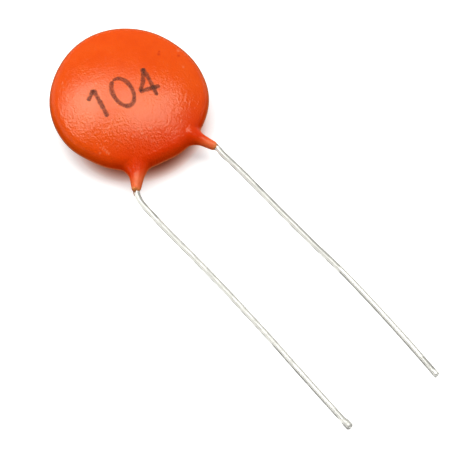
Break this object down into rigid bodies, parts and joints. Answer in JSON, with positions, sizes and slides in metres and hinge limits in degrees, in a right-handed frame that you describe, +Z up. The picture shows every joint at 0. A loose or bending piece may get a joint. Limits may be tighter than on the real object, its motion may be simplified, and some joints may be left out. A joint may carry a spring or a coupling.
{
  "type": "ceramic disc capacitor",
  "caption": "Thin round domed body dipped in orange resin, with radial wire leads that leave its rim through short tapered necks and run off side by side",
  "frame": {"origin": "on the surface that the part lies on, below the middle of its outline seen from above", "axes": "-Y along the leads, from the body to their tips; +X across the leads, so that the marked face reads along +X; +Z up, out of the marked face"},
  "size_m": [0.0152, 0.0404, 0.0042],
  "materials": {
    "coating": "satin dipped resin with a fine orange-peel skin",
    "ceramic": "fired, matte",
    "fired_silver": "matte fired silver",
    "solder": "satin solder",
    "tinned_wire": "tinned, uneven"
  },
  "bodies": {
    "root": {"coating": "coating", "ceramic_disc": "ceramic", "silver_front": "fired_silver", "silver_back": "fired_silver", "solder_front": "solder", "solder_back": "solder", "lead_left": "tinned_wire", "lead_right": "tinned_wire"}
  },
  "joints": []
}
